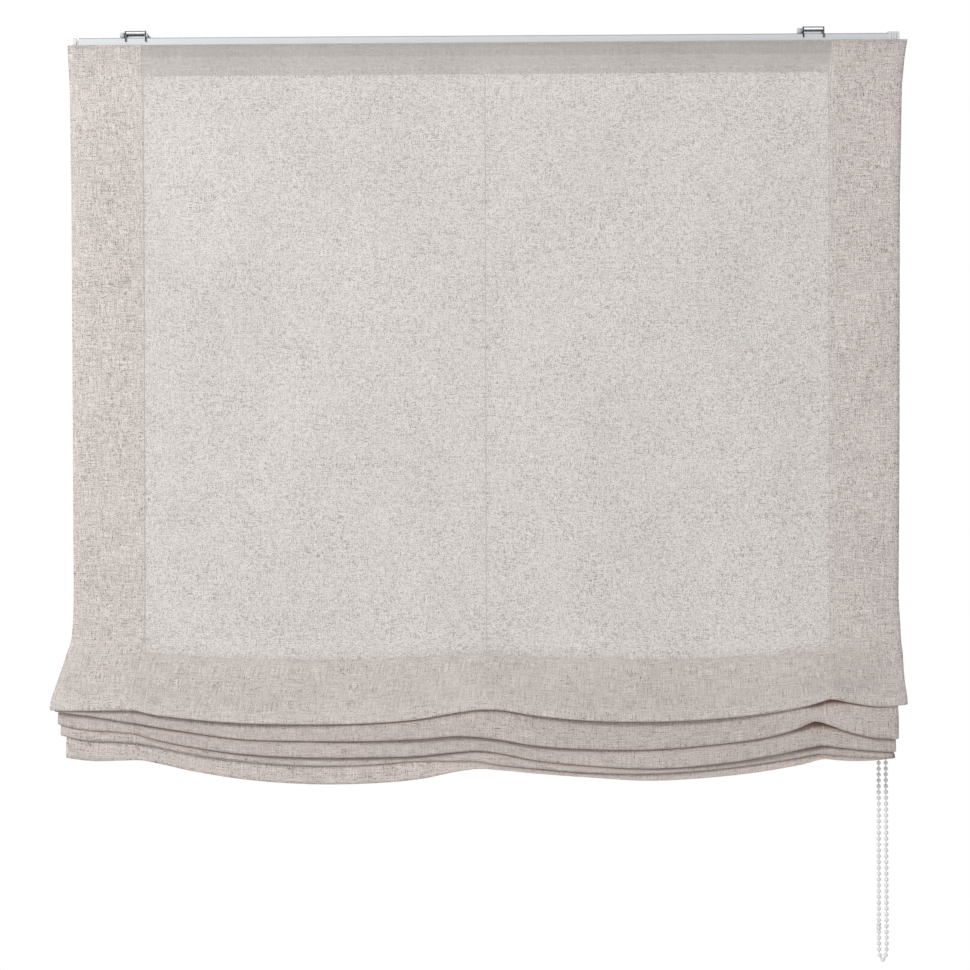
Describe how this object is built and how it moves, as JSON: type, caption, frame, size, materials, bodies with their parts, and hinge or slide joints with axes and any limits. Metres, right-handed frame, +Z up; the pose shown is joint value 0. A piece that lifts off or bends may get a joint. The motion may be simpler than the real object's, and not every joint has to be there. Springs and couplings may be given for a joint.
{
  "type": "roman blind",
  "caption": "Window blind of pale linen-look cloth, drawn part-way up into soft folds under a white headrail, with a bead chain on the right",
  "frame": {"origin": "on the ceiling, midway between the two bracket screws", "axes": "+X right as seen from the room, -Y into the room, +Z up"},
  "size_m": [0.856, 0.1016, 0.9622],
  "materials": {
    "rail": "satin white lacquer",
    "moulding": "white moulded",
    "zinc": "bright zinc plate",
    "lever": "pale grey moulded",
    "hook_strip": "white hook tape",
    "loop_strip": "white loop tape",
    "linen": "pinkish beige linen look, slubbed, see-through in one layer",
    "cord": "white braid",
    "steel": "plain",
    "spool": "white moulded",
    "ring": "clear white moulded",
    "chain": "white moulded beads",
    "thread": "white cord"
  },
  "bodies": {
    "blind": {"headrail": "rail", "end_cap": "moulding", "drive_unit": "moulding", "bracket_left": "zinc", "bracket_right": "zinc", "rivet_left": "zinc", "rivet_right": "zinc", "hook_strip": "hook_strip", "loop_strip": "loop_strip", "fabric": "linen", "chain_cord": "thread", "chain_beads": "chain", "chain_joiner": "chain", "cradle_left": "moulding", "cradle_centre": "moulding", "cradle_right": "moulding", "lift_cord_left": "cord", "lift_cord_centre": "cord", "lift_cord_right": "cord"},
    "drive": {"drive_shaft": "steel", "sprocket": "spool", "spool_left": "spool", "spool_centre": "spool", "spool_right": "spool"},
    "stack": {"ring_row_4": "ring", "ring_row_5": "ring", "ring_row_6": "ring", "ring_row_7": "ring", "ring_row_8": "ring", "cord_stop_left": "ring", "cord_stop_centre": "ring", "cord_stop_right": "ring"},
    "row_1": {"ring_row_1": "ring"},
    "row_2": {"ring_row_2": "ring"},
    "row_3": {"ring_row_3": "ring"},
    "lever_left": {"lever_left": "lever"},
    "lever_right": {"lever_right": "lever"}
  },
  "joints": [
    {"name": "drive_turn", "type": "hinge", "parent": "blind", "child": "drive", "pos_m": [0.0115, -0.0038, -0.026], "axis": [-1, 0, 0], "range_deg": [0, 2228.17], "deforming": ["chain_cord", "chain_beads", "chain_joiner"]},
    {"name": "lift", "type": "slide", "parent": "blind", "child": "stack", "axis": [0, 0, 1], "range_m": [0, 0.3501], "deforming": ["fabric", "lift_cord_left", "lift_cord_centre", "lift_cord_right"]},
    {"name": "row_1_rise", "type": "slide", "parent": "blind", "child": "row_1", "axis": [0, 0, 1], "range_m": [0, 0.04655]},
    {"name": "row_2_rise", "type": "slide", "parent": "blind", "child": "row_2", "axis": [0, 0, 1], "range_m": [0, 0.16831]},
    {"name": "row_3_rise", "type": "slide", "parent": "blind", "child": "row_3", "axis": [0, 0, 1], "range_m": [0, 0.29371]},
    {"name": "lever_left_swing", "type": "hinge", "parent": "blind", "child": "lever_left", "pos_m": [-0.3485, 0.009, -0.006], "axis": [0, 0, -1], "range_deg": [-35, 55]},
    {"name": "lever_right_swing", "type": "hinge", "parent": "blind", "child": "lever_right", "pos_m": [0.3485, 0.009, -0.006], "axis": [0, 0, -1], "range_deg": [0, 90]}
  ],
  "couplings": [
    {"joint": "lift", "follows": "drive_turn", "m_per_rad": 0.009},
    {"joint": "row_1_rise", "follows": "drive_turn", "m_per_rad": 0.0011945},
    {"joint": "row_2_rise", "follows": "drive_turn", "m_per_rad": 0.0043255},
    {"joint": "row_3_rise", "follows": "drive_turn", "m_per_rad": 0.0075499}
  ]
}
